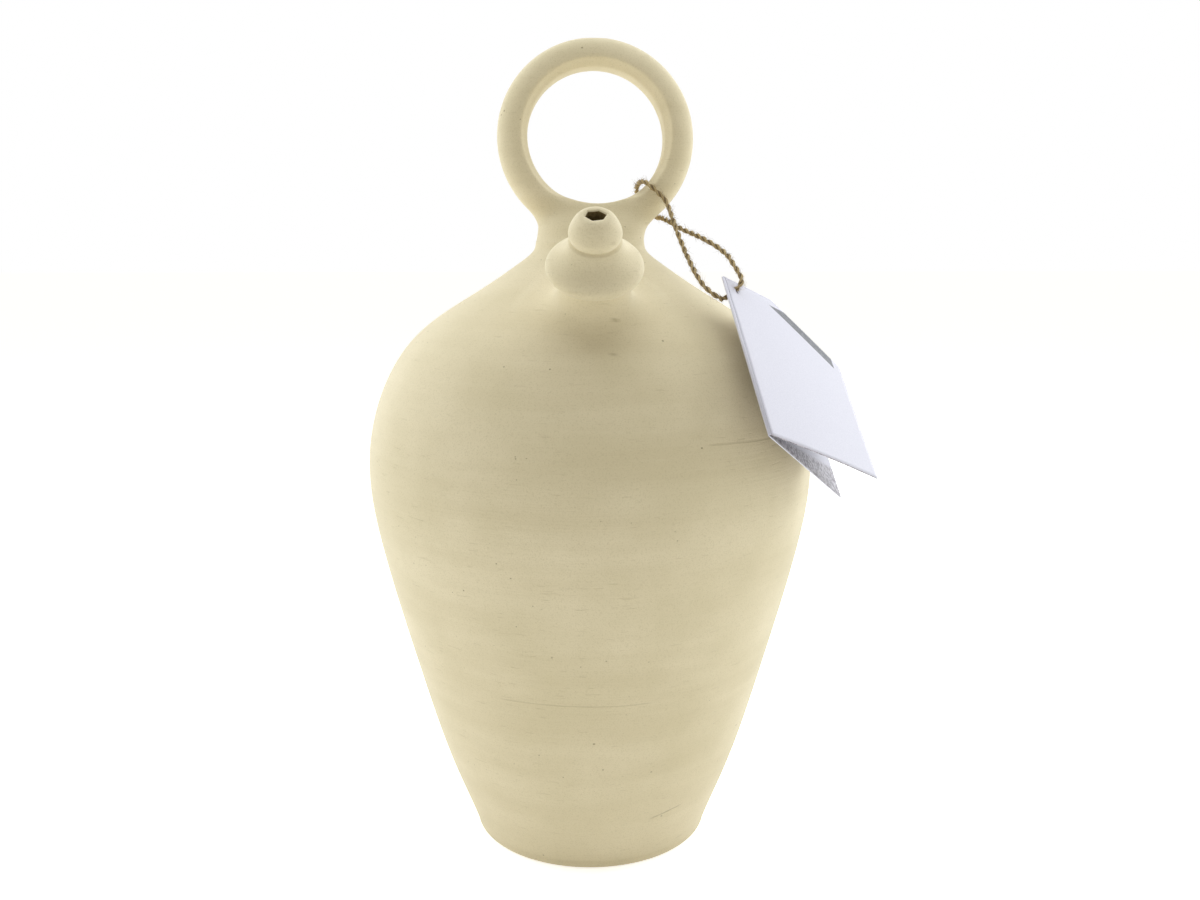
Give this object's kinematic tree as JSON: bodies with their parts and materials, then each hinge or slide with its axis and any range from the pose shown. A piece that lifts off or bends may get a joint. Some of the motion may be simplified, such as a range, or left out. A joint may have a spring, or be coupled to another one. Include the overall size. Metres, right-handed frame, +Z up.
{
  "type": "ring-handled drinking jug",
  "caption": "Tall unglazed clay drinking jug with a ring handle on its neck, a bulbed drinking spout, a filling mouth behind, and a folded card tag on a twine loop.",
  "frame": {"origin": "centre of the foot's underside, on the floor", "axes": "+Z up along the jar's axis, -Y forward towards the drinking spout, +X towards the side where the tag hangs"},
  "size_m": [0.1933, 0.178, 0.3229],
  "materials": {
    "clay": "matte, unglazed, faint throwing lines",
    "jute": "twisted jute twine",
    "card": "smooth white card, printed grey"
  },
  "bodies": {
    "vessel": {"jar_foot": "clay", "body_shell": "clay", "neck": "clay", "ring_handle": "clay", "spout_collar": "clay", "spout_bulb": "clay", "spout_nozzle": "clay", "filling_mouth": "clay"},
    "twine": {"twine_loop": "jute", "twine_knot": "jute"},
    "tag_back": {"tag_back_leaf": "card"},
    "tag_front": {"tag_front_leaf": "card"}
  },
  "joints": [
    {"name": "twine_swing", "type": "hinge", "parent": "vessel", "child": "twine", "pos_m": [0.02464, 0.00286, 0.26093], "axis": [-0.7254, -0.1331, -0.6754], "range_deg": [0, 80], "deforming": ["twine_loop"]},
    {"name": "tag_turn", "type": "hinge", "parent": "twine", "child": "tag_back", "pos_m": [0.05115, -0.03942, 0.22605], "axis": [0.8096, -0.3354, 0.4817], "range_deg": [-20, 20], "deforming": ["twine_loop"]},
    {"name": "tag_open", "type": "hinge", "parent": "tag_back", "child": "tag_front", "pos_m": [0.04777, -0.04041, 0.23188], "axis": [0.145, -0.6809, -0.7179], "range_deg": [-12, 150], "stiffness_Nm_per_rad": 0.02, "deforming": ["twine_loop"]}
  ]
}
